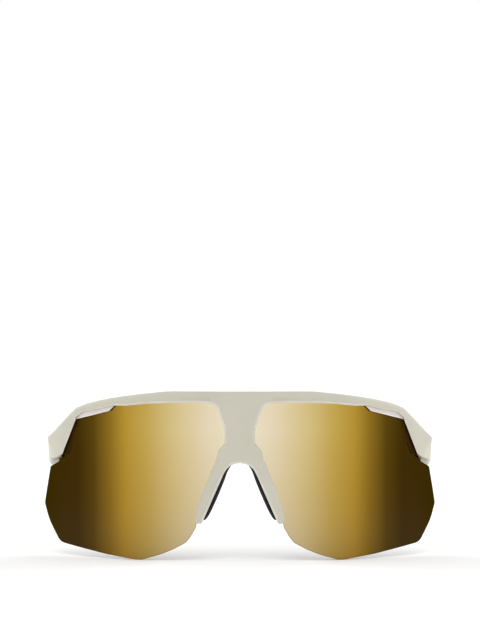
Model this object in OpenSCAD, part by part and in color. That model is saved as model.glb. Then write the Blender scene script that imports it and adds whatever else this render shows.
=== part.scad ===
// Shield sunglasses: a curved one-piece lens in a half frame, with nose pads, metal hinges,
// folding arms and rubber ear grips. Millimetres, +Z up. The front faces -Y and +X is the
// wearer's left. The arms are open, and the lens tips and the ear tips stand on z = 0.

/* [Overall] */
// Width across the lens
overall_w = 144; // [136:1:152]
// Height from the lens tips to the top of the brow
frame_h = 60.5; // [56:0.5:64]

/* [Lens] */
// How far the lens's outer edges lie behind its middle
lens_wrap = 37.4; // [34:0.2:40]
// Thickness of the lens
lens_t = 2.2; // [1.8:0.1:2.4]
// How far the lens's top edge goes up into the brow
lens_hold = 2.2; // [1.6:0.1:2.4]
// Space between the lens and its groove, on each side
lens_gap = 0.12; // [0.05:0.01:0.2]

/* [Frame] */
// How far the frame's front skin stands proud of the lens
skin_proud = 1.8; // [1.4:0.1:2.2]
// Depth of the brow, from its front skin to its back
brow_t = 5.7; // [5.2:0.1:6.4]
// Width of the bevel along the lens openings and the nose arch
bevel_w = 0.7; // [0.5:0.05:0.9]
// Rounding of the brow's top edge, front and back
brow_round = 1.4; // [0.8:0.1:1.8]
// How far the joint with the arms lies behind the lens's outer edges
joint_back = 7.6; // [6.6:0.2:9]

/* [Nose] */
// Height of the nose arch's top
arch_z = 35; // [33:0.5:36]
// Corner radius of the nose arch
arch_r = 6; // [4:0.5:7]
// Lean of the nose legs from upright
leg_lean = 23.7; // [21:0.1:26]
// Half width of the nose gap at the foot of the legs
foot_x = 13.6; // [13:0.1:14.4]
// Height of the foot of the legs
foot_z = 13.4; // [12:0.1:15]
// Width of the bridge at its narrowest
bridge_w = 10.8; // [10:0.1:12]
// Width of the nose legs below the bridge
leg_w = 4.9; // [4.6:0.1:5.4]
// Width of leg between the nose gap and the edge of the lens
leg_floor = 2.2; // [1.8:0.1:2.4]
// How far the pad shows past the edge of the leg
pad_show = 1.7; // [1.4:0.05:1.9]
// How deep the pad reaches back
pad_l = 12; // [10:0.5:14]
// Thickness of the pad's cheek
pad_t = 1.5; // [1.2:0.1:1.8]
// Thickness of the frame's rib behind the pad
rib_t = 1.3; // [1:0.1:1.6]
// Angle at which the pads open towards the face
pad_splay = 24; // [18:1:28]
// Space between a pad and its seat
pad_gap = 0.08; // [0.05:0.01:0.15]

/* [Arms] */
// Thickness of the arm at the joint
arm_w = 4.4; // [4.2:0.1:5]
// Height of the arm at the joint
arm_h = 10.2; // [9.6:0.1:11]
// Thickness of the arm's blade
blade_w = 3; // [2.8:0.1:3.6]
// Height of the arm's blade
blade_h = 7.4; // [6.8:0.1:8.4]
// Length of the arm's straight run
run_l = 85; // [75:1:95]
// Length of the ear bend
bend_l = 40; // [34:1:46]
// Slope of the arm's end, past the ear
ear_slope = 45; // [36:1:52]
// How far the arm's end bows in towards the head
bow_in = 8; // [4:0.5:10]
// Gap between the butt faces of the arm and the end piece
butt_gap = 0.1; // [0.06:0.01:0.2]

/* [Ear grips] */
// Length of a grip
grip_l = 46; // [40:1:52]
// Thickness of a grip at its fullest
grip_w = 5.2; // [4.8:0.1:6]
// Height of a grip at its fullest
grip_h = 9.2; // [8.4:0.1:10]
// Thickness of the arm's core inside the grip
core_w = 1.9; // [1.6:0.1:2.2]
// Height of the arm's core inside the grip
core_h = 5; // [4.4:0.1:5.4]
// Length of the arm's core inside the grip
core_l = 34; // [28:1:36]
// Space between the core and the grip
core_gap = 0.08; // [0.05:0.01:0.15]

/* [Hinges] */
// Height of the hinge leaves
leaf_h = 7; // [6.4:0.1:7.6]
// Thickness of the hinge leaves
leaf_t = 1; // [0.8:0.1:1.1]
// Length of a leaf, from the hinge's axis
leaf_l = 8.8; // [8.4:0.1:9.4]
// Radius of the barrels
barrel_r = 1.9; // [1.7:0.1:2]
// Height of the middle barrel
barrel_h = 2.6; // [2.2:0.1:3]
// Gap between barrels, along the axis
barrel_gap = 0.06; // [0.04:0.01:0.1]
// Radius of the hinge screw
screw_r = 0.7; // [0.6:0.05:0.8]
// Radial clearance of the screw in the barrels
screw_gap = 0.05; // [0.03:0.01:0.08]
// Radius of the screw's head
head_r = 1.5; // [1.3:0.1:1.6]
// Height of the screw's head
head_h = 0.7; // [0.5:0.1:0.9]
// Radius of a rivet
rivet_r = 0.6; // [0.5:0.05:0.7]
// Length of a rivet's shank in the plastic
rivet_l = 2; // [1.6:0.1:2.2]

/* [Hidden] */

// One overrun for cuts, the least rounding of an edge, and the steps of an arc
over = 1;
least_round = 0.1;
arc_steps = 4;
round_fn = 48;
rivet_fn = 24;
lens_fn = 256;
groove_fn = 180;

half_w = overall_w / 2;
lens_r = (half_w * half_w + lens_wrap * lens_wrap) / (2 * lens_wrap);
skin_r = lens_r + skin_proud;

// The lens's free outline from the top of the vent to the nose leg: across, from the foot of the
// leg to the widest point, up, and corner radius, as shares of that reach, the height and the height
lens_shares = [[0.523, 0.909, 0.013], [0.558, 0.878, 0.02], [0.774, 0.825, 0.006],
    [0.873, 0.598, 0.008], [0.895, 0.588, 0.005], [0.898, 0.565, 0.007], [0.958, 0.531, 0.013],
    [0.981, 0.413, 0.331], [1, 0.307, 0.05], [0.968, 0.208, 0.331], [0.889, 0.079, 0.06],
    [0.572, 0.024, 0.6], [0.382, 0, 0.05], [0.343, 0, 0.05], [0.22, 0.035, 0.413],
    [0.142, 0.065, 0.331], [0.059, 0.107, 0.033], [0.027, 0.144, 0.083], [-0.009, 0.202, 0.033]];
// Where the lens's hidden top edge turns down, across and as a share of the hold above the lip
lens_top_shares = [[0.375, 1, 0.165], [0.608, 0.5, 0.007]];
// The frame's edge of a lens opening: beside the bridge, across in shares of half its width, and
// beside the leg, from the leg's inner edge in shares of its width; then up, where 0 is the foot,
// 1 the arch's top and 2 the lip; then corner radius
bridge_side_shares = [[1.613, 2, 0.069], [0.987, 1.542, 0.116], [1, 1.327, 0.023]];
leg_side_shares = [[1.132, 1.216, 0.02], [1.006, 1.066, 0.083], [0.937, 0.514, 0.331],
    [0.787, 0.209, 0.099]];
// Width and corner radius of the leg's foot
foot_w = 2.4;
foot_round = 1;
leg_out_x = foot_x + foot_w;
// The brow's top line and its lower lip: across, then up
brow_top_shares = [[0, 1], [0.375, 1], [0.465, 0.988], [0.522, 0.981], [0.578, 0.971],
    [0.646, 0.959], [0.708, 0.944], [0.773, 0.925], [0.804, 0.913]];
brow_lip_shares = [[0, 0.932], [0.319, 0.932], [0.458, 0.926], [0.569, 0.912], [0.632, 0.912],
    [0.678, 0.895], [0.718, 0.884], [0.76, 0.875], [0.785, 0.871]];
// Stations of the end piece: lower edge across and up, upper edge across and up, how far each
// has left the front skin's curve on its way back to the joint, depth, turn of the section, and
// rounding of its lower edge
end_shares = [[0.804, 0.848, 0.835, 0.896, 0, 0, 1, 1, 0], [0.824, 0.82, 0.867, 0.86, 0, 0, 1, 1, 0],
    [0.843, 0.764, 0.902, 0.817, 0, 0, 1, 1, 0], [0.869, 0.686, 0.949, 0.758, 0, 0, 1, 1, 0],
    [0.892, 0.621, 0.975, 0.728, 0, 0, 0.98, 0.97, 0], [0.933, 0.587, 0.986, 0.718, 0, 0, 0.92, 0.78, 0.3],
    [0.965, 0.572, 0.989, 0.712, 0.25, 0.3, 0.86, 0.42, 0.7],
    [0.974, 0.549, 0.99, 0.708, 0.6, 0.62, 0.8, 0.12, 1]];
// Steps of the front skin: fine over the nose legs, where the body reaches down past the feet
// until the front view is cut out of it, and coarser over the rest of the brow
leg_step_share = 1 / 36;
leg_end_share = 9 / 36;
brow_step_share = 1 / 18;
brow_start_share = 5 / 18;
brow_end_share = 14 / 18;
// How far the body reaches past the lip before the front view is cut, the gap between the end
// piece and the lens's side edge, and where the vent ends, with its corner radius
lip_trim = 0.3;
side_gap = 0.35;
vent_end_shares = [0.808, 0.855, 0.03];
side_round_share = 0.02;
leg_bevel_share = 0.4;
// The wall behind the vent, from the front, and how far its faces lie inside the brow's own
vent_wall_shares = [[0.59, 0.926], [0.632, 0.926], [0.678, 0.911], [0.718, 0.9], [0.76, 0.891],
    [0.785, 0.878], [0.806, 0.858], [0.82, 0.842], [0.84, 0.816], [0.851, 0.793], [0.846, 0.769],
    [0.814, 0.8], [0.651, 0.851], [0.615, 0.886]];
wall_in_front = 0.1;
wall_in_back = 0.3;
end_round_share = 1 / 3;

function skin_y(x, r = skin_r) = lens_r - sqrt(r * r - x * x);
function inward(x, r = skin_r) = [-x, sqrt(r * r - x * x), 0] / r;
function unit(v) = v / norm(v);
function at_share(p) = [p[0] * half_w, p[1] * frame_h, p[2] * frame_h];
function flat(p) = [p[0], p[1]];
function turned(v, a) = [v[0] * cos(a) - v[1] * sin(a), v[0] * sin(a) + v[1] * cos(a), v[2]];

// A corner b between a and c, rounded by an arc of its own radius
function corner(a, b, c) = let (
    r = b[2], p = flat(b), u = unit(flat(a) - p), v = unit(flat(c) - p),
    half = acos(max(-1, min(1, u * v))) / 2, t = r / tan(half),
    m = p + unit(u + v) * (r / sin(half)), from = p + u * t - m, to = p + v * t - m, w = 180 - 2 * half
) [for (i = [0:arc_steps]) m + (sin((1 - i / arc_steps) * w) * from + sin(i / arc_steps * w) * to) / sin(w)];
function rounded_line(p) = [for (i = [0:len(p) - 1])
    each (i == 0 || i == len(p) - 1 || p[i][2] <= 0 ? [flat(p[i])] : corner(p[i - 1], p[i], p[i + 1]))];
function both_halves(p) = concat(p,
    [for (i = [len(p) - 1:-1:0]) if (abs(p[i][0]) > least_round) [-p[i][0], p[i][1]]]);

// A ring of points round a rectangle that starts at o and runs w along a and h along b, with a
// rounding for each corner
function quarter(c, r, from) = [for (i = [0:arc_steps - 1])
    c + r * [cos(from + 90 * i / (arc_steps - 1)), sin(from + 90 * i / (arc_steps - 1))]];
function rect_points(w, h, r) = concat(
    quarter([r[0], r[0]], r[0], 180), quarter([w - r[1], r[1]], r[1], 270),
    quarter([w - r[2], h - r[2]], r[2], 0), quarter([r[3], h - r[3]], r[3], 90));
function ring(o, a, b, w, h, r) = [for (p = rect_points(w, h, r)) o + a * p[0] + b * p[1]];

// A solid through rings that each have the same number of points
module loft(rings) {
    n = len(rings[0]);
    m = len(rings);
    polyhedron(
        points = [for (r = rings) each r],
        faces = concat(
            [[for (i = [n - 1:-1:0]) i]],
            [for (j = [0:m - 2], i = [0:n - 1]) let (k = (i + 1) % n)
                [j * n + i, j * n + k, (j + 1) * n + k]],
            [for (j = [0:m - 2], i = [0:n - 1]) let (k = (i + 1) % n)
                [j * n + i, (j + 1) * n + k, (j + 1) * n + i]],
            [[for (i = [0:n - 1]) (m - 1) * n + i]]));
}

// The same as a chain of convex pieces
module chain(rings) for (j = [0:len(rings) - 2]) hull() loft([rings[j], rings[j + 1]]);

// Nose arch: the edge of a leg at height z, set off by d into the leg
function leg_x(z, d = 0) = foot_x + (foot_z - z) * tan(leg_lean) + d / cos(leg_lean);
arch_limit_share = 0.98;
function arch_round(d) = min(arch_r + d, arch_limit_share * leg_x(arch_z + d, d) / tan(45 - leg_lean / 2));
function arch_line(d) = [[leg_x(foot_z, d), foot_z, foot_round],
    [leg_x(arch_z + d, d), arch_z + d, arch_round(d)], [0, arch_z + d, 0]];

// Outlines seen from the front
lip_z = brow_lip_shares[0][1] * frame_h;
lens_top_z = lip_z + lens_hold;
lens_half = concat([[0, lens_top_z, 0]],
    [for (p = lens_top_shares) [p[0] * half_w, brow_lip(p[0] * half_w) + p[1] * lens_hold, p[2] * frame_h]],
    [for (p = lens_shares) [leg_out_x + p[0] * (half_w - leg_out_x), p[1] * frame_h, p[2] * frame_h]],
    [[leg_x(foot_z + foot_w / 2, leg_floor), foot_z + foot_w / 2, foot_round]],
    [for (p = arch_line(leg_floor)) if (p[1] > foot_z) p]);
function nose_z(k) = k < 1 ? foot_z + k * (arch_z - foot_z) : arch_z + (k - 1) * (lip_z - arch_z);
opening_line = concat(
    [for (p = bridge_side_shares) [p[0] * bridge_w / 2, nose_z(p[1]), p[2] * frame_h]],
    [for (p = leg_side_shares) [leg_x(nose_z(p[1])) + p[0] * leg_w, nose_z(p[1]), p[2] * frame_h]],
    [[leg_out_x, foot_z, foot_round]]);
function brow_top(x) = frame_h * lookup(x / half_w, brow_top_shares);
function brow_lip(x) = frame_h * lookup(x / half_w, brow_lip_shares);
lip_line = [for (i = [len(brow_lip_shares) - 1:-1:1]) let (p = brow_lip_shares[i])
    [p[0] * half_w, p[1] * frame_h, 0]];
// The end piece's edge beside the lens, set off from the lens's own corners
function lens_corner(i) = let (p = lens_shares[i])
    [leg_out_x + p[0] * (half_w - leg_out_x), p[1] * frame_h];
side_out = let (d = unit(lens_corner(3) - lens_corner(2))) [-d[1], d[0]] * side_gap;
side_low = lens_corner(3) + side_out;
side_line = [[side_low[0], side_low[1], 0], concat(lens_corner(2) + side_out, side_round_share * frame_h),
    at_share(vent_end_shares)];
// All that lies below the lip, in the lens openings and in the nose gap
below_half = concat([[side_low[0], foot_z - over, 0]], side_line, lip_line, opening_line, arch_line(0));

// Joint between the end piece and the arm
joint_x_share = 0.957;
joint_z_share = 0.625;
joint_lean = 2;
joint_x = joint_x_share * half_w;
joint_y = lens_wrap + joint_back;
joint_z = joint_z_share * frame_h;
joint_round = 1.6;

// Hinge, in the left-hand joint
seat_in = 0.5;
seat_gap = 0.05;
turn_gap = 0.25;
seat_x = joint_x - arm_w / 2 + seat_in;
leaf_x = seat_x - seat_gap - leaf_t;
hinge_in_share = 0.3;
hinge_x = leaf_x - (leaf_t - seat_in) * hinge_in_share;
hinge_y = joint_y + butt_gap / 2;
leaf_z = joint_z - leaf_h / 2;
outer_barrel_h = (leaf_h - barrel_h) / 2 - barrel_gap;
rivet_spots_shares = [0.43, 0.77];
rivet_head_share = 1.6;
rivet_head_r = rivet_head_share * rivet_r;
rivet_head_h = 0.35;
rivet_gap = 0.03;
slot_share = 1 / 7;

// Arm: the path of its centre, for a slope of its straight run
taper_shares = [[0, 1], [0.04, 0.98], [0.12, 0.86], [0.25, 0.58], [0.4, 0.3], [0.6, 0.1],
    [0.8, 0.02], [1, 0]];
grip_shares = [[0, 0.78, 0.86], [0.03, 0.86, 0.9], [0.12, 0.93, 0.94], [0.28, 0.98, 0.98],
    [0.46, 1, 1], [0.64, 0.99, 0.98], [0.8, 0.94, 0.91], [0.9, 0.84, 0.8], [0.96, 0.66, 0.62],
    [0.99, 0.42, 0.4], [1, 0.2, 0.2]];
grip_round_share = 0.42;
core_shares = [0, 0.125, 0.25, 0.375, 0.5, 0.625, 0.75, 0.875, 1];
arm_l = run_l + bend_l;
grip_start = arm_l - grip_l;
level_run = 10;
blade_round = 1.1;
core_round = 0.6;
core_end_gap = 0.25;
slope_low = 1;
slope_high = 25;
slope_tries = 24;
function slope_at(s, a) = s < run_l ? a : a + (ear_slope - a) * (s - run_l) / bend_l;
function arm_centre(s, a) = let (
    t = min(s, run_l), p = slope_at(s, a), r = bend_l * 180 / PI / (ear_slope - a)
) [
    joint_x - bow_in * pow(s / arm_l, 2),
    joint_y + butt_gap + t * cos(a) + r * (sin(p) - sin(a)),
    joint_z - t * sin(a) - r * (cos(a) - cos(p))];
function arm_ring(s, a, w, h, r) = let (
    tilt = slope_at(s, a) * min(1, s / level_run), lean = joint_lean * max(0, 1 - s / run_l),
    up0 = [0, sin(tilt), cos(tilt)], out = [1, 0, 0] * cos(lean) - up0 * sin(lean),
    up = up0 * cos(lean) + [1, 0, 0] * sin(lean), k = [r, r, r, r]
) ring(arm_centre(s, a) - out * w / 2 - up * h / 2, out, up, w, h, k);
function grip_ring(p, a) = let (w = p[1] * grip_w, h = p[2] * grip_h)
    arm_ring(grip_start + p[0] * grip_l, a, w, h, grip_round_share * w);
function lowest(a) = min([for (p = grip_shares) for (q = grip_ring(p, a)) q[2]]);
// The slope that sets the ear tips on z = 0, halving the bracket each time
function solved_slope(low, high, n) = let (mid = (low + high) / 2)
    n == 0 ? mid : lowest(mid) > 0 ? solved_slope(mid, high, n - 1) : solved_slope(low, mid, n - 1);
arm_slope = solved_slope(slope_low, slope_high, slope_tries);
back_y = max([for (p = grip_shares) for (q = grip_ring(p, arm_slope)) q[1]]);
mid_y = (back_y - skin_proud) / 2;

// Everything is drawn with the lens's apex at y = 0 and moved so that the origin is at mid depth
module place() translate([0, -mid_y, 0]) children();
module both() {
    children();
    mirror([1, 0, 0]) children();
}
// Extrudes a front view from y = from to y = to
module front_view(from, to) translate([0, to, 0]) rotate([90, 0, 0]) linear_extrude(to - from) children();
module band(outer, inner, fn) translate([0, lens_r, -over]) difference() {
    cylinder(r = outer, h = frame_h + 2 * over, $fn = fn);
    translate([0, 0, -over]) cylinder(r = inner, h = frame_h + 4 * over, $fn = fn);
}
lens_back_y = skin_y(half_w, lens_r - lens_t) + over;

module shield_lens() color([0.72, 0.56, 0.24]) place() intersection() {
    band(lens_r, lens_r - lens_t, lens_fn);
    front_view(-over, lens_back_y) polygon(both_halves(rounded_line(lens_half)));
}

// Brow and end pieces, lofted from one joint to the other. Over the legs the rings reach down
// past the feet.
function brow_ring(x, low) = let (o = [x, skin_y(x), low], k = least_round)
    ring(o, [0, 0, 1], inward(x), brow_top(x) - low, brow_t, [k, brow_round, brow_round, k]);
function end_edge(x, z, back) = [x * half_w, skin_y(x * half_w) * (1 - back) + joint_y * back, z * frame_h];
function end_ring(p) = let (
    a = end_edge(p[0], p[1], p[4]), b = end_edge(p[2], p[3], p[5]), mid = (a[0] + b[0]) / 2,
    dir = turned([-1, 0, 0], -atan2(inward(mid)[1], -inward(mid)[0]) * p[7]), w = norm(b - a),
    r = min(brow_round, w * end_round_share), low = max(least_round, r * p[8])
) ring(a, (b - a) / w, dir, w, brow_t * p[6], [low, r, r, low]);
joint_ring = let (
    up = [sin(joint_lean), 0, cos(joint_lean)], out = [cos(joint_lean), 0, -sin(joint_lean)],
    c = [joint_x, joint_y, joint_z]
) ring(c + out * arm_w / 2 - up * arm_h / 2, up, -out, arm_h, arm_w, [1, 1, 1, 1] * joint_round);
body_half = concat(
    [for (k = [0:leg_step_share:leg_end_share + leg_step_share / 2])
        brow_ring(k * half_w, foot_z - over / 2)],
    [for (k = [brow_start_share:brow_step_share:brow_end_share + brow_step_share / 2])
        brow_ring(k * half_w, brow_lip(k * half_w) - lip_trim)],
    [for (p = end_shares) end_ring(p)], [joint_ring]);
module brow_body() loft(concat(
    [for (i = [len(body_half) - 1:-1:1]) [for (p = body_half[i]) [-p[0], p[1], p[2]]]],
    body_half));
module below_lip() front_view(-skin_proud - over, lens_back_y)
    polygon(both_halves(rounded_line(below_half)));

// The vent is a recess: behind the lens a wall closes it
module vent_wall() intersection() {
    band(lens_r - lens_t - lens_gap - wall_in_front, skin_r - brow_t + wall_in_back, groove_fn);
    front_view(-over, lens_back_y + over)
        polygon([for (p = vent_wall_shares) [p[0] * half_w, p[1] * frame_h]]);
}

module lens_groove() intersection() {
    band(lens_r + lens_gap, lens_r - lens_t - lens_gap, groove_fn);
    front_view(-over, lens_back_y) offset(delta = lens_gap) polygon(both_halves(rounded_line(lens_half)));
}

// The front edge of the lip, the lens openings, the feet and the arch. Its arcs are a little
// tighter than the walls' own, so that no corner of the cutter meets a corner of a wall.
edge_ease_share = 0.97;
bevel_reach_share = 0.5;
bevel_rise_share = 0.4;
miter_share = 0.5;
function eased(p) = [for (q = p) [q[0], q[1], q[2] * edge_ease_share]];
edge_half = rounded_line(eased(concat(side_line, lip_line, opening_line, arch_line(0))));
function across_edge(line, i) = let (
    a = unit(line[max(i, 1)] - line[max(i, 1) - 1]),
    e = min(i, len(line) - 2),
    b = unit(line[e + 1] - line[e]),
    n = unit([a[1], -a[0]] + [b[1], -b[0]])
) n / max(miter_share, n * [a[1], -a[0]]);
function on_skin(p, deep) = [p[0], skin_y(p[0]), p[1]] + deep * inward(p[0]);
function beside_leg(p) = p[1] < nose_z(bridge_side_shares[2][1]) && abs(p[0]) < half_w / 2
    && abs(p[0]) > leg_x(p[1], foot_w / 2);
function bevel_ring(line, i) = let (
    p = line[i], n = across_edge(line, i), e = bevel_w * bevel_reach_share,
    rise = bevel_rise_share * (min(i, len(line) - 1 - i) + bevel_reach_share),
    c = bevel_w * min(beside_leg(p) ? leg_bevel_share : 1, rise)
) [on_skin(p - n * e, c + e), on_skin(p + n * (c + e), -e), on_skin(p - n * e, -e)];
module edge_bevel() {
    line = both_halves(edge_half);
    loft([for (i = [0:len(line) - 1]) bevel_ring(line, i)]);
}

// Nose pad: sections at height z, in a frame that opens towards the face
pad_low_z = foot_z + foot_w / 2 + pad_gap;
pad_high_z = arch_z - bevel_w - lens_gap;
pad_shares = [[0, 0.62, 0.55], [0.06, 0.82, 0.85], [0.2, 0.95, 1], [0.5, 1, 1], [0.75, 0.92, 0.92],
    [0.9, 0.76, 0.6], [1, 0.5, 0.25]];
pad_wrap = 1.3;
pad_round = 0.55;
// Where the leg's wall lies in the space between the cheek and the rib
cheek_gap_share = 0.85;
function pad_z(t) = pad_low_z + t * (pad_high_z - pad_low_z);
function arch_x(z) = z < arch_z - arch_r * (1 - sin(leg_lean)) ? leg_x(z)
    : leg_x(arch_z) - arch_r * tan(45 - leg_lean / 2) + sqrt(arch_r * arch_r - pow(z - arch_z + arch_r, 2));
along = [sin(pad_splay), cos(pad_splay), 0];
across = [cos(pad_splay), -sin(pad_splay), 0];
function pad_ring(p, s0, s1, b0, b1, r) = let (
    z = pad_z(p[0]), x = arch_x(z) - pad_show * p[2], o = [x, skin_y(x) + skin_proud, z]
) ring(o + along * s0 * p[1] + across * b0, along, across, (s1 - s0) * p[1], b1 - b0, [1, 1, 1, 1] * r);
rib_end = pad_l - pad_wrap;
module pad_body(grow) loft([for (p = pad_shares)
    pad_ring(p, -grow, pad_l + grow, -grow, pad_t + pad_gap + rib_t + grow, pad_round)]);
// Its cut reaches into the nose gap as far as the pad leans away from it over the brow's depth
module pad_cheek(grow) loft([for (p = pad_shares)
    pad_ring(p, -grow, pad_l + grow, -brow_t * sin(pad_splay), pad_t + grow * cheek_gap_share,
        least_round)]);
module rib(grow, reach) chain([for (p = pad_shares) pad_ring(p, pad_wrap - reach, rib_end + grow,
    pad_t + pad_gap - grow, pad_t + pad_gap + rib_t + reach, least_round)]);
module nose_pad() color([0.07, 0.07, 0.08]) difference() {
    pad_body(0);
    rib(pad_gap, pad_wrap + over);
}

// Cuts for the hinge in the plastic on either side of the joint
module leaf_seat(dir) {
    y0 = min(hinge_y, hinge_y + dir * (leaf_l + seat_gap));
    translate([seat_x - arm_w, y0, leaf_z - seat_gap])
        cube([arm_w, leaf_l + seat_gap, leaf_h + 2 * seat_gap]);
    translate([hinge_x, hinge_y, leaf_z - turn_gap])
        cylinder(r = barrel_r + turn_gap, h = leaf_h + head_h + 2 * turn_gap, $fn = round_fn);
    rivets(dir, rivet_gap);
}
module rivets(dir, grow) for (k = rivet_spots_shares) {
    translate([leaf_x, hinge_y + dir * k * leaf_l, joint_z]) rotate([0, 90, 0]) {
        cylinder(r = rivet_r + grow, h = seat_x - leaf_x + rivet_l + grow, $fn = rivet_fn);
        translate([0, 0, -rivet_head_h]) cylinder(r = rivet_head_r, h = rivet_head_h, $fn = rivet_fn);
    }
}

module front_frame() color([0.79, 0.78, 0.72]) place() difference() {
    union() {
        difference() {
            brow_body();
            below_lip();
            both() pad_cheek(pad_gap);
        }
        both() rib(0, 0);
        both() vent_wall();
    }
    lens_groove();
    edge_bevel();
    both() leaf_seat(-1);
}

// Hinge leaves: the front one carries the outer barrels and the arm's one the middle barrel
module hinge_leaf(dir) difference() {
    middle_z = leaf_z + outer_barrel_h + barrel_gap;
    union() {
        translate([leaf_x, min(hinge_y, hinge_y + dir * leaf_l), leaf_z]) cube([leaf_t, leaf_l, leaf_h]);
        for (z = dir < 0 ? [leaf_z, leaf_z + leaf_h - outer_barrel_h] : [middle_z])
            translate([hinge_x, hinge_y, z])
                cylinder(r = barrel_r, h = dir < 0 ? outer_barrel_h : barrel_h, $fn = round_fn);
    }
    outer_z = [leaf_z - over, leaf_z + leaf_h - outer_barrel_h - barrel_gap];
    for (z = dir > 0 ? outer_z : [middle_z - barrel_gap]) translate([hinge_x, hinge_y, z])
        cylinder(r = barrel_r + turn_gap, $fn = round_fn,
            h = dir > 0 ? outer_barrel_h + barrel_gap + over : barrel_h + 2 * barrel_gap);
    translate([hinge_x, hinge_y, leaf_z - over])
        cylinder(r = screw_r + screw_gap, h = leaf_h + 2 * over, $fn = round_fn);
    for (k = rivet_spots_shares)
        translate([leaf_x - over, hinge_y + dir * k * leaf_l, joint_z]) rotate([0, 90, 0])
            cylinder(r = rivet_r + rivet_gap, h = leaf_t + 2 * over, $fn = rivet_fn);
}

module hinge_screw() color([0.55, 0.55, 0.56]) translate([hinge_x, hinge_y, leaf_z]) difference() {
    slot = head_r * slot_share;
    union() {
        cylinder(r = screw_r, h = leaf_h, $fn = round_fn);
        translate([0, 0, leaf_h]) cylinder(r = head_r, h = head_h, $fn = round_fn);
    }
    translate([-head_r - over, -slot, leaf_h + head_h / 2]) cube([2 * (head_r + over), 2 * slot, head_h]);
}

module arm() color([0.79, 0.78, 0.72]) difference() {
    blade = [for (p = taper_shares) let (s = p[0] * grip_start)
        arm_ring(s, arm_slope, blade_w + p[1] * (arm_w - blade_w), blade_h + p[1] * (arm_h - blade_h),
            blade_round + p[1] * (joint_round - blade_round))];
    core = [for (k = core_shares) arm_ring(grip_start + k * core_l, arm_slope, core_w, core_h, core_round)];
    loft(concat(blade, core));
    leaf_seat(1);
}

module ear_grip() color([0.45, 0.45, 0.43]) difference() {
    loft([for (p = grip_shares) grip_ring(p, arm_slope)]);
    loft([for (k = core_shares) let (e = k == 0 ? -over : k == 1 ? core_end_gap : 0)
        arm_ring(grip_start + k * core_l + e, arm_slope, core_w + 2 * core_gap, core_h + 2 * core_gap,
            core_round + core_gap)]);
}

module left() place() children();
module right() place() mirror([1, 0, 0]) children();
steel = [0.6, 0.6, 0.61];

front_frame();
shield_lens();
left() nose_pad();  // nose_pad_left
right() nose_pad();  // nose_pad_right
left() color(steel) hinge_leaf(-1);  // hinge_leaf_front_left
right() color(steel) hinge_leaf(-1);  // hinge_leaf_front_right
place() both() color(steel) rivets(-1, 0);  // front_leaf_rivets
left() color(steel) hinge_leaf(1);  // hinge_leaf_arm_left
right() color(steel) hinge_leaf(1);  // hinge_leaf_arm_right
left() color(steel) rivets(1, 0);  // arm_rivets_left
right() color(steel) rivets(1, 0);  // arm_rivets_right
left() hinge_screw();  // hinge_screw_left
right() hinge_screw();  // hinge_screw_right
left() arm();  // arm_left
right() arm();  // arm_right
left() ear_grip();  // ear_grip_left
right() ear_grip();  // ear_grip_right
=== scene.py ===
import math

import bmesh
import bpy
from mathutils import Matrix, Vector


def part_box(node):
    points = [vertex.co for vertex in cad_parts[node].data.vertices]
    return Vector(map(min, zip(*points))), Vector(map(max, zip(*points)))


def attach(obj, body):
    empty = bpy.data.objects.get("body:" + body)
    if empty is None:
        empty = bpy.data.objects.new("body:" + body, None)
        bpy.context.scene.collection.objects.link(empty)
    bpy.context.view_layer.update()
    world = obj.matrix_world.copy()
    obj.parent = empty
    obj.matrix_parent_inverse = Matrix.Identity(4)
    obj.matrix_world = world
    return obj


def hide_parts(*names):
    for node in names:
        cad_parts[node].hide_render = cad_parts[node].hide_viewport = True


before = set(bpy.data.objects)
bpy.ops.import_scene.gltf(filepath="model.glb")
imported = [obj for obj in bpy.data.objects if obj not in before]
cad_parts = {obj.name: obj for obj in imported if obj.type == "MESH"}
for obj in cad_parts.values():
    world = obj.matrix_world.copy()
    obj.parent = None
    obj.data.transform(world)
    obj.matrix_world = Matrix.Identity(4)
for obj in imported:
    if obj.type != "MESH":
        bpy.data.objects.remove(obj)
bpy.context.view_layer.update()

# Shield sunglasses: one mirrored lens in a bone-coloured half frame, on folding arms.
# Everything is in metres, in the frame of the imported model: the front faces -Y and +Z is up.
MM = 0.001
LENS_LOW, LENS_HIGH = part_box("shield_lens")

# The lens is a slice of a tube that stands upright. Its front face lies on this radius.
LENS_RADIUS = 88 * MM
LENS_WALL = 2.2 * MM
TUBE_AXIS_Y = LENS_LOW.y + LENS_RADIUS
# Its faces are cut in strips, whose width keeps the cuts off the corners of the lens's step, and a
# darker border runs round the front. A point this near to a radius counts as lying on it.
LENS_STRIP = 1.6 * MM
LENS_BORDER = 0.32 * MM
SETTLE_REACH = 0.3 * MM

# Where the frame's front edges lie: the polished bevels, with their painted highlights, follow them,
# and each has its own stretch
NOSE_HALF = 16 * MM
ARCH_HALF = 8 * MM
LIP_END_X = 60 * MM
END_PIECE_X = 57 * MM
BRIDGE_LOW = 42 * MM

# The lens's side edge under the end piece, from the front: its upper corner, its lower corner, how
# far the edge is drawn out to close the gap beside it, and how near to the edge a point moves
SIDE_TOP = Vector((59.34, 49.91)) * MM
SIDE_LOW = Vector((64.89, 36.18)) * MM
SIDE_GROWTH = 0.26 * MM
SIDE_REACH = 0.3 * MM
# The strip of lens beside that edge mirrors the end piece's dark inner wall, so its coating is
# paler there and duller
SHADE_WIDTH = 1.9 * MM
SHADE_SOFT = 0.45 * MM
SHADE_LIFT = 2.2
SHADE_ROUGHNESS = 0.7

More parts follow.
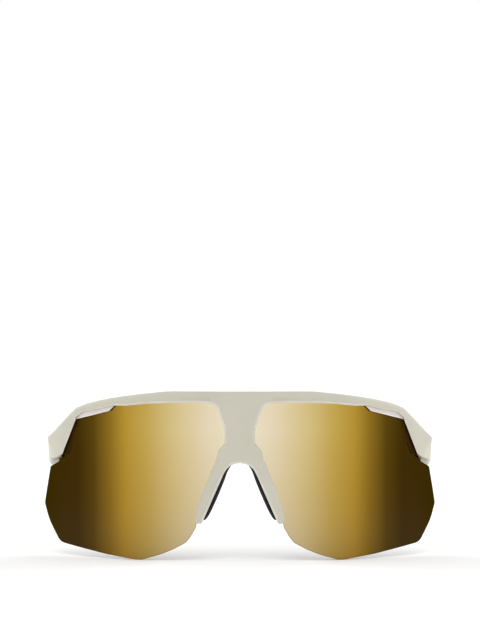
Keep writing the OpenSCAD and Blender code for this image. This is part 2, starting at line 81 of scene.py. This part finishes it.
# The recess above the lens's outer corner, which a step fills to just before the lens's front. The
# brow's lip and the lens's edge there are given across and up.
RECESS_LIP = [Vector(point) * MM for point in (
    (43.0, 55.2), (45.5, 55.2), (48.8, 54.15), (51.7, 53.5), (54.7, 52.95), (56.5, 52.7),
    (58.2, 51.75), (61.0, 48.5))]
RECESS_LENS = [Vector(point) * MM for point in (
    (44.4, 55.4), (45.3, 55.0), (47.25, 53.1), (59.3, 49.92), (61.0, 49.3))]
# The step's reach across, the distance between its sections, how far it reaches up behind the lip,
# how far it clears the lens's edge, the height of its painted highlight line, and its faces as radii
RECESS_START = 44.9 * MM
RECESS_END = 60.2 * MM
RECESS_STRIP = 0.45 * MM
RECESS_HOLD = 0.5 * MM
RECESS_GAP = 0.05 * MM
RECESS_LINE = 0.3 * MM
RECESS_FRONT = 88.8 * MM
RECESS_BACK = 85.4 * MM

# The places of the finishes in the lens's list of materials and in the half frame's
MIRROR, INSIDE, CUT_RIM, BORDER = range(4)
SKIN, POLISHED_HIGHLIGHT, SATIN_HIGHLIGHT, RECESS, RECESS_EDGE_HIGHLIGHT = range(5)
# Which way the lens's faces look along the tube's radius. 0 leaves the cut rim's shading as it is.
LENS_LOOKS = {MIRROR: 1, BORDER: 1, INSIDE: -1, CUT_RIM: 0}

# How squarely a face looks away from the tube's axis, where 1 is square on. The lens's curved faces
# and the frame's skin lie above theirs, a wall lies below its own, and a back below the last.
LENS_FACING = 0.95
SKIN_FACING = 0.93
WALL_FACING = 0.4
BACK_FACING = -0.2
# How far a bevel or a wall leans to the middle or upwards, where 1 is wholly
SLIGHT_LEAN = 0.2
CLEAR_LEAN = 0.3
STEEP_LEAN = 0.4

# How a copy of a node is cleaned: points this close are one, a cut snaps to points this close, and
# faces within these angles in degrees are joined, on hard pieces and on rubber
MERGE_GAP = 0.0005 * MM
CUT_SNAP = 0.0001 * MM
FLAT_ANGLE = 0.2
SOFT_FACE_ANGLE = 20
SOFT_SHAPE_ANGLE = 60
# Edges that turn more than this many degrees are shaded sharp
LENS_CREASE = 30
HARD_CREASE = 35
SOFT_CREASE = 60
SOFT_LEVELS = 1

# The camera stands a metre in front of the lens, a little above the brow. It is level, which is a
# tilt of 90 degrees from looking down.
CAMERA_REACH = 1.0
CAMERA_HEIGHT = 85.97 * MM
CAMERA_SIDE = 0.045 * MM
CAMERA_TILT = 90
CAMERA_NEAR = 0.01
CAMERA_FAR = 20
CAMERA_LENS_MM = 158
SENSOR_MM = 36

# Light that falls on the object from all round, and the floor, which shows a little brighter
WORLD_LIGHT = 0.62
SEEN_LIGHT = 1.0
FLOOR_GLOW = 0.1
FLOOR_HALF = 6.0
FLOOR_SQUARES = 8
FLOOR_DROP = 0.05 * MM
FLOOR_ROUGHNESS = 0.9


def linear(red, green, blue):
    """A colour as a screen shows it, from 0 to 255, as a shader takes it, by the sRGB curve."""
    def channel(value):
        share = value / 255
        return share / 12.92 if share <= 0.04045 else ((share + 0.055) / 1.055) ** 2.4
    return (channel(red), channel(green), channel(blue), 1.0)


def grey(value):
    """A shader's grey, from 0 for black to 1 for white."""
    return (value, value, value, 1.0)


WHITE = grey(1.0)
BLACK = grey(0.0)
FLOOR_PALE = grey(0.93)
BONE = linear(203, 200, 184)
BONE_PALE = linear(206, 203, 188)
BONE_DEEP = linear(199, 196, 180)
# The bevels' pale colours below are painted highlights
BONE_POLISHED_HIGHLIGHT = linear(231, 226, 213)
BONE_POLISHED_HIGHLIGHT_DEEP = linear(222, 217, 203)
BONE_SATIN_HIGHLIGHT = linear(212, 210, 196)
# The recess is painted pale, painted light against the shade under the lip, and its lower line is a
# painted highlight
BONE_RECESS_PAINTED_LIGHT = linear(228, 220, 218)
BONE_EDGE_HIGHLIGHT = linear(243, 235, 223)
# How far a plain bone finish goes towards white in places, and how much rougher it gets there
PLAIN_PALER = 0.06
PLAIN_WEAR = 0.1
RUBBER_BLACK = linear(27, 27, 29)
RUBBER_WORN = linear(38, 38, 40)
GRIP_GREY = linear(126, 124, 117)
GRIP_DEEP = linear(108, 106, 100)
STEEL = linear(202, 202, 204)
STEEL_DULL = linear(170, 170, 173)
SMOKE = linear(66, 46, 28)
SMOKE_DEEP = linear(48, 33, 21)
RIM = linear(62, 43, 18)
RIM_DEEP = linear(44, 30, 12)
# A greyer tone of painted reflection, mixed in towards the lens's tips
REFLECTION_HAZE = linear(128, 116, 96)

# The mirror coating, from the nose outwards, with a painted reflection in its colour: distance from
# the middle in mm, and its colour
MIRROR_REFLECTION_STOPS = [
    (5, linear(231, 220, 194)),
    (12, linear(225, 211, 178)),
    (22, linear(213, 193, 139)),
    (33, linear(193, 164, 83)),
    (41, linear(179, 143, 51)),
    (47, linear(136, 106, 32)),
    (53, linear(87, 66, 16)),
    (59, linear(64, 45, 12)),
    (63, linear(63, 46, 19)),
    (68, linear(63, 50, 30)),
    (71, linear(61, 54, 38)),
]
# Where the run of those colours ends
MIRROR_REACH = 72 * MM
# What the coating keeps of its colour, from the lens's top at 0 to its tips at 1: painted reflection,
# darker towards the tips
MIRROR_REFLECTION_FADE = [
    (0.2, grey(0.92)),
    (0.38, (0.87, 0.85, 0.82, 1.0)),
    (0.62, (0.81, 0.78, 0.73, 1.0)),
    (0.81, (0.76, 0.73, 0.74, 1.0)),
    (1.0, (0.7, 0.67, 0.7, 1.0)),
]
# How much of a greyer painted reflection lies over it, from the top to the tips
REFLECTION_HAZE_RISE = [(0.45, BLACK), (0.7, grey(0.02)), (0.9, grey(0.05))]
# What it keeps where it is seen at a slant, and on the border
MIRROR_SLANT = (0.4, 0.3, 0.1, 1.0)
BORDER_SHADE = 0.75

# A Mix node's sockets for colours go by number, because their names repeat for its other kinds
MIX_FACTOR = 0
MIX_FIRST = 6
MIX_SECOND = 7
MIX_RESULT = 2


class Wire:
    """A socket that carries a value, so that sums on it can be written as sums."""

    def __init__(self, finish, socket):
        self.finish = finish
        self.socket = socket

    def maths(self, operation, first, second=None):
        inputs = {0: first} if second is None else {0: first, 1: second}
        return self.finish.node("ShaderNodeMath", {"operation": operation}, inputs)

    def __add__(self, other):
        return self.maths("ADD", self, other)

    def __radd__(self, other):
        return self.maths("ADD", other, self)

    def __sub__(self, other):
        return self.maths("SUBTRACT", self, other)

    def __rsub__(self, other):
        return self.maths("SUBTRACT", other, self)

    def __mul__(self, other):
        return self.maths("MULTIPLY", self, other)

    def __rmul__(self, other):
        return self.maths("MULTIPLY", other, self)

    def __truediv__(self, other):
        return self.maths("DIVIDE", self, other)

    def __rtruediv__(self, other):
        return self.maths("DIVIDE", other, self)

    def __abs__(self):
        return self.maths("ABSOLUTE", self)


class Finish:
    """One material. Its node tree is built by node(), and constants go straight on the shader."""

    def __init__(self, name, **constants):
        self.material = bpy.data.materials.new(name)
        self.material.use_nodes = True
        self.tree = self.material.node_tree
        self.tree.nodes.clear()
        output = self.tree.nodes.new("ShaderNodeOutputMaterial")
        self.shader = self.tree.nodes.new("ShaderNodeBsdfPrincipled")
        self.tree.links.new(self.shader.outputs["BSDF"], output.inputs["Surface"])
        for socket, value in constants.items():
            self.shader.inputs[socket.replace("_", " ")].default_value = value
        self.place = self.node("ShaderNodeTexCoord", output="Object")

    def node(self, kind, settings=None, inputs=None, output=0):
        """Adds a node, with its settings first, then the values or wires of its sockets."""
        made = self.tree.nodes.new(kind)
        for name, value in (settings or {}).items():
            if name == "stops":
                self.set_stops(made.color_ramp, value)
            else:
                setattr(made, name, value)
        for name, value in (inputs or {}).items():
            if isinstance(value, Wire):
                self.tree.links.new(value.socket, made.inputs[name])
            else:
                made.inputs[name].default_value = value
        return Wire(self, made.outputs[output])

    def set_stops(self, ramp, stops):
        """Gives a ramp its stops, whose places are set afterwards and so start anywhere."""
        while len(ramp.elements) < len(stops):
            ramp.elements.new(0.5)
        for element, (position, colour) in zip(ramp.elements, sorted(stops)):
            element.position = position
            element.color = colour

    def feed(self, socket, wire):
        """Leads a wire to a socket of the shader."""
        self.tree.links.new(wire.socket, self.shader.inputs[socket])

    def axis(self, name):
        """One coordinate of the place on the piece, in metres."""
        return self.node("ShaderNodeSeparateXYZ", inputs={0: self.place}, output=name)

    def noise(self, size, detail, stretch=None):
        """Soft noise whose grains are about size across."""
        place = self.place
        if stretch:
            place = self.node("ShaderNodeMapping", inputs={"Vector": place, "Scale": stretch})
        sockets = {"Vector": place, "Scale": 1 / size, "Detail": detail}
        return self.node("ShaderNodeTexNoise", inputs=sockets)

    def ramp(self, factor, stops, interpolation="LINEAR"):
        wire = self.node("ShaderNodeValToRGB", {"stops": stops}, {"Fac": factor})
        wire.socket.node.color_ramp.interpolation = interpolation
        return wire

    def mix(self, factor, first, second, blend="MIX"):
        settings = {"data_type": "RGBA", "blend_type": blend}
        sockets = {MIX_FACTOR: factor, MIX_FIRST: first, MIX_SECOND: second}
        return self.node("ShaderNodeMix", settings, sockets, MIX_RESULT)

    def between(self, factor, low, high):
        """A value that goes from low to high as the factor goes from 0 to 1."""
        return factor * (high - low) + low

    def bump(self, height, depth):
        sockets = {"Height": height, "Distance": depth, "Strength": 1.0}
        self.feed("Normal", self.node("ShaderNodeBump", inputs=sockets))


def bone_plastic():
    """Moulded nylon, matte, with a fine spark-eroded grain."""
    finish = Finish("bone_plastic", Specular_IOR_Level=0.45, IOR=1.5)
    cloud = finish.noise(size=22 * MM, detail=3)
    shade = finish.ramp(cloud, [(0.3, BONE_DEEP), (0.5, BONE), (0.7, BONE_PALE)])
    finish.feed("Base Color", shade)
    grain = finish.noise(size=0.35 * MM, detail=3)
    finish.feed("Roughness", finish.between(grain, low=0.44, high=0.6))
    finish.bump(grain, depth=0.012 * MM)
    return finish.material


def polished_highlight_bone():
    """The bevels, which the mould leaves glossy, with a painted highlight: their colour is painted
    pale, so they show as pale lines.
    """
    finish = Finish("polished_highlight_bone", IOR=1.5)
    cloud = finish.noise(size=4 * MM, detail=2)
    shade = finish.ramp(cloud, [(0.35, BONE_POLISHED_HIGHLIGHT_DEEP), (0.65, BONE_POLISHED_HIGHLIGHT)])
    finish.feed("Base Color", shade)
    finish.feed("Roughness", finish.between(cloud, low=0.26, high=0.36))
    return finish.material


def plain_bone(name, colour, roughness):
    """Bone-coloured plastic, smoother than the rest and painted paler: painted highlights on bevels
    and lines, painted light in the recess.
    """
    finish = Finish(name, IOR=1.5)
    cloud = finish.noise(size=4 * MM, detail=2)
    paler = finish.mix(PLAIN_PALER, colour, WHITE)
    finish.feed("Base Color", finish.mix(cloud, colour, paler))
    finish.feed("Roughness", finish.between(cloud, roughness, roughness + PLAIN_WEAR))
    return finish.material


def beside_end_piece(finish):
    """1 on the strip of lens beside the end piece, and 0 elsewhere."""
    slope = (SIDE_LOW.x - SIDE_TOP.x) / (SIDE_TOP.y - SIDE_LOW.y)
    edge = (SIDE_TOP.y - finish.axis("Z")) * slope + SIDE_TOP.x
    near = (abs(finish.axis("X")) - edge + SHADE_WIDTH) / SHADE_SOFT
    above = (finish.axis("Z") - SIDE_LOW.y) / SHADE_SOFT
    rise = [(0.0, BLACK), (1.0, WHITE)]
    return finish.ramp(near, rise, "EASE") * finish.ramp(above, rise, "EASE")


def down_the_lens(finish):
    """0 at the lens's top and 1 at its tips."""
    return (LENS_HIGH.z - finish.axis("Z")) / (LENS_HIGH.z - LENS_LOW.z)


def mirror_coating(name, shade):
    """Gold mirror with a painted reflection: pale at the nose, deep bronze at the temples, darker and
    greyer at the tips.
    """
    finish = Finish(name, Metallic=1.0, Specular_Tint=MIRROR_SLANT)
    across = abs(finish.axis("X")) / MIRROR_REACH
    # Painted reflection: the colour runs across and down the lens stand in for the studio's light in
    # the mirror
    gold_and_reflection = finish.ramp(across, [(reach * MM / MIRROR_REACH, colour) for reach, colour in MIRROR_REFLECTION_STOPS])
    down = down_the_lens(finish)
    fade = finish.ramp(down, MIRROR_REFLECTION_FADE)
    gold_and_reflection = finish.mix(factor=1.0, first=gold_and_reflection, second=fade, blend="MULTIPLY")
    gold_and_reflection = finish.mix(finish.ramp(down, REFLECTION_HAZE_RISE), gold_and_reflection, REFLECTION_HAZE)
    beside = beside_end_piece(finish)
    lift = finish.between(beside, shade, shade * SHADE_LIFT)
    gold_and_reflection = finish.node("ShaderNodeVectorMath", {"operation": "SCALE"}, {0: gold_and_reflection, "Scale": lift})
    finish.feed("Base Color", gold_and_reflection)
    wipe = finish.noise(size=9 * MM, detail=4, stretch=(1.0, 1.0, 0.35))
    gloss = finish.between(wipe, low=0.1, high=0.17)
    finish.feed("Roughness", finish.between(beside, gloss, SHADE_ROUGHNESS))
    return finish.material


def lens_inside():
    """The inner face of the lens: brown smoke polycarbonate, polished."""
    finish = Finish("lens_inside", IOR=1.58, Coat_Weight=0.15, Coat_Roughness=0.03)
    smoke = finish.ramp(down_the_lens(finish), [(0.0, SMOKE_DEEP), (1.0, SMOKE)])
    finish.feed("Base Color", smoke)
    wipe = finish.noise(size=8 * MM, detail=4)
    finish.feed("Roughness", finish.between(wipe, low=0.06, high=0.13))
    return finish.material


def lens_rim():
    """The cut edge of the lens."""
    finish = Finish("lens_rim", IOR=1.58, Specular_IOR_Level=0.3)
    lines = finish.noise(size=1.2 * MM, detail=2, stretch=(1.0, 1.0, 5.0))
    finish.feed("Base Color", finish.ramp(lines, [(0.35, RIM_DEEP), (0.7, RIM)]))
    finish.feed("Roughness", finish.between(lines, low=0.22, high=0.38))
    return finish.material


def pad_rubber():
    """Soft black rubber of the nose pads."""
    finish = Finish("pad_rubber", Specular_IOR_Level=0.35)
    cloud = finish.noise(size=5 * MM, detail=3)
    finish.feed("Base Color", finish.ramp(cloud, [(0.35, RUBBER_BLACK), (0.75, RUBBER_WORN)]))
    grain = finish.noise(size=0.3 * MM, detail=3)
    finish.feed("Roughness", finish.between(grain, low=0.6, high=0.8))
    finish.bump(grain, depth=0.015 * MM)
    return finish.material


def grip_rubber():
    """Grey rubber of the ear grips, a little mottled."""
    finish = Finish("grip_rubber", Specular_IOR_Level=0.35)
    cloud = finish.noise(size=9 * MM, detail=3)
    finish.feed("Base Color", finish.ramp(cloud, [(0.35, GRIP_DEEP), (0.7, GRIP_GREY)]))
    grain = finish.noise(size=0.4 * MM, detail=3)
    finish.feed("Roughness", finish.between(grain, low=0.58, high=0.76))
    finish.bump(grain, depth=0.02 * MM)
    return finish.material


def brushed_steel():
    """Satin steel of the hinges, brushed along the leaves."""
    finish = Finish("brushed_steel", Metallic=1.0)
    brush = finish.noise(size=0.25 * MM, detail=3, stretch=(1.0, 0.06, 1.0))
    finish.feed("Base Color", finish.ramp(brush, [(0.3, STEEL_DULL), (0.7, STEEL)]))
    finish.feed("Roughness", finish.between(brush, low=0.24, high=0.4))
    finish.bump(brush, depth=0.006 * MM)
    return finish.material


def make_camera():
    data = bpy.data.cameras.new("camera")
    data.lens = CAMERA_LENS_MM
    data.sensor_width = SENSOR_MM
    data.clip_start = CAMERA_NEAR
    data.clip_end = CAMERA_FAR
    camera = bpy.data.objects.new("camera", data)
    camera.location = (CAMERA_SIDE, LENS_LOW.y - CAMERA_REACH, CAMERA_HEIGHT)
    camera.rotation_euler = (math.radians(CAMERA_TILT), 0, 0)
    bpy.context.scene.collection.objects.link(camera)
    bpy.context.scene.camera = camera


def make_sun(name, azimuth, elevation, strength, spread):
    """A broad, soft lamp. Azimuth 0 shines from the front and 90 from the wearer's left."""
    data = bpy.data.lights.new(name, "SUN")
    data.energy = strength
    data.angle = math.radians(spread)
    lamp = bpy.data.objects.new(name, data)
    turn = math.radians(azimuth)
    rise = math.radians(elevation)
    ray = Vector((math.sin(turn) * math.cos(rise), -math.cos(turn) * math.cos(rise), math.sin(rise)))
    lamp.rotation_euler = ray.to_track_quat("Z", "Y").to_euler()
    lamp.visible_glossy = False
    bpy.context.scene.collection.objects.link(lamp)


def make_lamps():
    """A key light from above the camera, and a fill from behind on either side."""
    make_sun("key", azimuth=0, elevation=50, strength=0.8, spread=45)
    for name, azimuth in (("fill_left", 125), ("fill_right", -125)):
        make_sun(name, azimuth, elevation=12, strength=2.1, spread=50)


def seen_directly(tree):
    """1 for rays from the camera, a mirror or glass, and 0 for the rays that light things."""
    path = tree.nodes.new("ShaderNodeLightPath")
    total = path.outputs["Is Camera Ray"]
    for name in ("Is Glossy Ray", "Is Transmission Ray"):
        either = tree.nodes.new("ShaderNodeMath")
        either.operation = "MAXIMUM"
        tree.links.new(total, either.inputs[0])
        tree.links.new(path.outputs[name], either.inputs[1])
        total = either.outputs[0]
    return total


def make_world():
    """White all round. What lights the object is a little weaker than what the eye sees."""
    world = bpy.data.worlds.new("white_studio")
    world.use_nodes = True
    tree = world.node_tree
    background = tree.nodes["Background"]
    background.inputs["Color"].default_value = WHITE
    strength = tree.nodes.new("ShaderNodeMapRange")
    strength.inputs["To Min"].default_value = WORLD_LIGHT
    strength.inputs["To Max"].default_value = SEEN_LIGHT
    tree.links.new(seen_directly(tree), strength.inputs["Value"])
    tree.links.new(strength.outputs["Result"], background.inputs["Strength"])
    bpy.context.scene.world = world


def pale_floor():
    """Matt and almost white. It glows a little for the eye alone, and keeps the shadow."""
    material = bpy.data.materials.new("pale_floor")
    material.use_nodes = True
    tree = material.node_tree
    shader = tree.nodes["Principled BSDF"]
    shader.inputs["Base Color"].default_value = FLOOR_PALE
    shader.inputs["Roughness"].default_value = FLOOR_ROUGHNESS
    shader.inputs["Specular IOR Level"].default_value = 0.0
    shader.inputs["Emission Color"].default_value = WHITE
    glow = tree.nodes.new("ShaderNodeMath")
    glow.operation = "MULTIPLY"
    glow.inputs[1].default_value = FLOOR_GLOW
    tree.links.new(seen_directly(tree), glow.inputs[0])
    tree.links.new(glow.outputs[0], shader.inputs["Emission Strength"])
    return material


def make_floor():
    """The floor, just under the lens's tips."""
    shape = bmesh.new()
    bmesh.ops.create_grid(shape, x_segments=FLOOR_SQUARES, y_segments=FLOOR_SQUARES, size=FLOOR_HALF)
    mesh = bpy.data.meshes.new("floor")
    shape.to_mesh(mesh)
    shape.free()
    mesh.materials.append(pale_floor())
    floor = bpy.data.objects.new("floor", mesh)
    floor.location.z = -FLOOR_DROP
    bpy.context.scene.collection.objects.link(floor)


def copy_of(node):
    """A merged copy of a CAD node's mesh in a new bmesh."""
    shape = bmesh.new()
    shape.from_mesh(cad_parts[node].data)
    bmesh.ops.remove_doubles(shape, verts=shape.verts[:], dist=MERGE_GAP)
    return shape


def dress(shape, name, node, body, materials, crease):
    """Turns a bmesh into a finished piece that stands for a CAD node."""
    mesh = bpy.data.meshes.new(name)
    shape.to_mesh(mesh)
    shape.free()
    for material in materials:
        mesh.materials.append(material)
    for polygon in mesh.polygons:
        polygon.use_smooth = True
    mesh.set_sharp_from_angle(angle=math.radians(crease))
    piece = bpy.data.objects.new(name, mesh)
    bpy.context.scene.collection.objects.link(piece)
    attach(piece, body)
    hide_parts(node)
    return piece


def merge_flats(shape):
    """Joins the triangles of each flat face."""
    bmesh.ops.dissolve_limit(shape, angle_limit=math.radians(FLAT_ANGLE), verts=shape.verts[:],
                             edges=shape.edges[:])


def shade_by_area(piece):
    """Lets the large faces set the shading, so that small roundings don't smear over them."""
    even = piece.modifiers.new("even_shading", "WEIGHTED_NORMAL")
    even.mode = "FACE_AREA"
    even.keep_sharp = True


def radius_from_axis(point):
    return math.hypot(point.x, point.y - TUBE_AXIS_Y)


def outward_at(point):
    """The direction away from the tube's axis."""
    return Vector((point.x, point.y - TUBE_AXIS_Y, 0)).normalized()


def depth_on_tube(across, radius):
    """The Y of the tube's front half at a place across."""
    return TUBE_AXIS_Y - math.sqrt(radius ** 2 - across ** 2)


def outward_share(face):
    """1 where a face looks away from the tube's axis, and -1 where it looks at it."""
    return face.normal.dot(outward_at(face.calc_center_median()))


def cut_in_strips(shape, low, high, step):
    """Cuts a mesh by upright planes across X, a step apart."""
    count = int((high - low) / step)
    for index in range(1, count + 1):
        everything = shape.verts[:] + shape.edges[:] + shape.faces[:]
        place = Vector((low + index * step, 0, 0))
        bmesh.ops.bisect_plane(shape, geom=everything, dist=CUT_SNAP, plane_co=place,
                               plane_no=Vector((1, 0, 0)))


def draw_out_side(shape):
    """Moves the lens's side edges outwards, so that no light shows between them and the frame."""
    along = (SIDE_LOW - SIDE_TOP).normalized()
    out = Vector((-along.y, along.x))
    length = (SIDE_LOW - SIDE_TOP).length
    for vertex in shape.verts:
        place = Vector((abs(vertex.co.x), vertex.co.z)) - SIDE_TOP
        off = abs(place.dot(out))
        if off < SIDE_REACH and -SIDE_REACH < place.dot(along) < length + SIDE_REACH:
            move = out * SIDE_GROWTH * (1 - off / SIDE_REACH)
            vertex.co.x += math.copysign(move.x, vertex.co.x)
            vertex.co.z += move.y


def settle_on_tube(shape):
    """Puts the lens's points exactly on its two curved faces."""
    for vertex in shape.verts:
        reach = radius_from_axis(vertex.co)
        for wanted in (LENS_RADIUS, LENS_RADIUS - LENS_WALL):
            if abs(reach - wanted) < SETTLE_REACH:
                vertex.co.y = depth_on_tube(vertex.co.x, wanted)


def shade_as_tube(piece):
    """Gives the corners of the lens's curved faces the tube's own normals."""
    mesh = piece.data
    normals = []
    for polygon in mesh.polygons:
        looks = LENS_LOOKS[polygon.material_index]
        for index in polygon.vertices:
            normals.append(outward_at(mesh.vertices[index].co) * looks)
    mesh.normals_split_custom_set(normals)


def side_of_lens(face):
    """The finish of a face of the lens: mirrored front, inner face or cut rim."""
    facing = outward_share(face)
    if facing > LENS_FACING:
        return MIRROR
    return INSIDE if facing < -LENS_FACING else CUT_RIM


def make_lens(finishes):
    """The lens with its faces cut into fine strips, so that the mirror is smooth."""
    shape = copy_of("shield_lens")
    merge_flats(shape)
    cut_in_strips(shape, LENS_LOW.x, LENS_HIGH.x, LENS_STRIP)
    draw_out_side(shape)
    settle_on_tube(shape)
    shape.normal_update()
    for face in shape.faces:
        face.material_index = side_of_lens(face)
    front = [face for face in shape.faces if face.material_index == MIRROR]
    ring = bmesh.ops.inset_region(shape, faces=front, thickness=LENS_BORDER, use_even_offset=True)
    settle_on_tube(shape)
    for face in ring["faces"]:
        face.material_index = BORDER
    piece = dress(shape, "lens", "shield_lens", "front", finishes, LENS_CREASE)
    shade_as_tube(piece)


def lean_of(face):
    """Which way a face leans away from the curved skin: to the middle, and up."""
    middle = face.calc_center_median()
    outward = outward_at(middle)
    lean = face.normal - outward * face.normal.dot(outward)
    return -lean.x * math.copysign(1, middle.x), lean.z


def finish_of(face):
    """The finish of a face of the half frame: skin, a polished or satin bevel with a painted
    highlight, or the recess with painted light.
    """
    middle = face.calc_center_median()
    across = abs(middle.x)
    facing = outward_share(face)
    if facing > SKIN_FACING:
        return RECESS if radius_from_axis(middle) < LENS_RADIUS - LENS_WALL else SKIN
    inward, upward = lean_of(face)
    if facing < WALL_FACING:
        before_lens = radius_from_axis(middle) > LENS_RADIUS and facing > BACK_FACING
        on_side = inward > STEEP_LEAN and across > END_PIECE_X
        return POLISHED_HIGHLIGHT if before_lens and on_side else SKIN
    if across < NOSE_HALF and middle.z > BRIDGE_LOW:
        if upward < -SLIGHT_LEAN:
            return POLISHED_HIGHLIGHT
        return SATIN_HIGHLIGHT if inward < -SLIGHT_LEAN and upward < CLEAR_LEAN else SKIN
    if across < NOSE_HALF:
        on_arch = across < ARCH_HALF and upward < -CLEAR_LEAN
        return POLISHED_HIGHLIGHT if inward > SLIGHT_LEAN or on_arch else SKIN
    on_lip = upward < -CLEAR_LEAN and across < LIP_END_X
    on_end_piece = inward > SLIGHT_LEAN and across > END_PIECE_X
    return POLISHED_HIGHLIGHT if on_lip or on_end_piece else SKIN


def along_line(points, across):
    """The height of a line of points at a place across."""
    for start, end in zip(points, points[1:]):
        if across <= end.x:
            return start.y + (end.y - start.y) * (across - start.x) / (end.x - start.x)
    return points[-1].y


def recess_section(across, side):
    """The corners of the recess step at a place across: back, pale line, front and back again."""
    low = along_line(RECESS_LENS, across) + RECESS_GAP
    high = along_line(RECESS_LIP, across) + RECESS_HOLD
    corners = [(RECESS_BACK, low), (RECESS_FRONT, low), (RECESS_FRONT, low + RECESS_LINE),
               (RECESS_FRONT, high), (RECESS_BACK, high)]
    return [Vector((side * across, depth_on_tube(across, radius), height))
            for radius, height in corners]


def closed_loop(shape, places):
    """A ring of edges through the places."""
    points = [shape.verts.new(place) for place in places]
    return [shape.edges.new(pair) for pair in zip(points, points[1:] + points[:1])]


def finish_of_step(face):
    """The finish of a recess step's face: its front with painted light, its painted highlight line, or
    the rest.
    """
    middle = face.calc_center_median()
    if radius_from_axis(middle) < RECESS_FRONT - SETTLE_REACH:
        return SKIN
    line_top = along_line(RECESS_LENS, abs(middle.x)) + RECESS_GAP + RECESS_LINE
    return RECESS_EDGE_HIGHLIGHT if middle.z < line_top else RECESS


def add_recess_steps(shape):
    """The steps that close the brow above the lens's outer corners, painted pale as painted light,
    each with a painted highlight as its pale lower line.
    """
    count = round((RECESS_END - RECESS_START) / RECESS_STRIP)
    stations = [RECESS_START + index * RECESS_STRIP for index in range(count + 1)]
    for side in (-1, 1):
        rings = [closed_loop(shape, recess_section(across, side)) for across in stations]
        made = []
        for ring, after in zip(rings, rings[1:]):
            made += bmesh.ops.bridge_loops(shape, edges=ring + after)["faces"]
        for end in (rings[0], rings[-1]):
            made += bmesh.ops.edgeloop_fill(shape, edges=end)["faces"]
        bmesh.ops.recalc_face_normals(shape, faces=made)
        for face in made:
            face.material_index = finish_of_step(face)


def make_half_frame(finishes):
    """Brow, end pieces, bridge and nose legs, with a finish for each kind of face."""
    shape = copy_of("front_frame")
    merge_flats(shape)
    shape.normal_update()
    for face in shape.faces:
        face.material_index = finish_of(face)
    add_recess_steps(shape)
    piece = dress(shape, "half_frame", "front_frame", "front", finishes, HARD_CREASE)
    shade_by_area(piece)


def make_plain(name, node, body, material):
    """A smooth-shaded copy of a node whose shape is right as it is."""
    shape = copy_of(node)
    merge_flats(shape)
    piece = dress(shape, name, node, body, [material], HARD_CREASE)
    shade_by_area(piece)


def make_soft(name, node, body, material):
    """A rubber piece: the node's shape with its edges softened."""
    shape = copy_of(node)
    bmesh.ops.join_triangles(shape, faces=shape.faces[:],
                             angle_face_threshold=math.radians(SOFT_FACE_ANGLE),
                             angle_shape_threshold=math.radians(SOFT_SHAPE_ANGLE))
    piece = dress(shape, name, node, body, [material], SOFT_CREASE)
    soften = piece.modifiers.new("soften", "SUBSURF")
    soften.levels = SOFT_LEVELS
    soften.render_levels = SOFT_LEVELS


def make_front(plastic):
    """The lens and the half frame, with their lists of finishes in the order named at the top."""
    make_lens([mirror_coating("mirror_coating", shade=1.0), lens_inside(), lens_rim(),
               mirror_coating("mirror_border", BORDER_SHADE)])
    make_half_frame([plastic, polished_highlight_bone(),
                     plain_bone("satin_highlight_bone", BONE_SATIN_HIGHLIGHT, roughness=0.36),
                     plain_bone("recess_painted_light_bone", BONE_RECESS_PAINTED_LIGHT, roughness=0.5),
                     plain_bone("edge_highlight_bone", BONE_EDGE_HIGHLIGHT, roughness=0.4)])


def make_object():
    """The whole pair: the front, the hinges, the arms and the rubber pieces."""
    plastic = bone_plastic()
    steel = brushed_steel()
    pads = pad_rubber()
    grips = grip_rubber()
    make_front(plastic)
    make_plain("front_rivets", "front_leaf_rivets", "front", steel)
    for side in ("left", "right"):
        arm = side + "_arm"
        make_soft("pad_" + side, "nose_pad_" + side, "front", pads)
        make_plain("front_leaf_" + side, "hinge_leaf_front_" + side, "front", steel)
        make_plain("screw_" + side, "hinge_screw_" + side, "front", steel)
        make_plain("temple_" + side, "arm_" + side, arm, plastic)
        make_plain("arm_leaf_" + side, "hinge_leaf_arm_" + side, arm, steel)
        make_plain("rivets_" + side, "arm_rivets_" + side, arm, steel)
        make_soft("grip_" + side, "ear_grip_" + side, arm, grips)


make_camera()
make_world()
make_floor()
make_lamps()
bpy.context.scene.view_settings.view_transform = "Standard"
make_object()
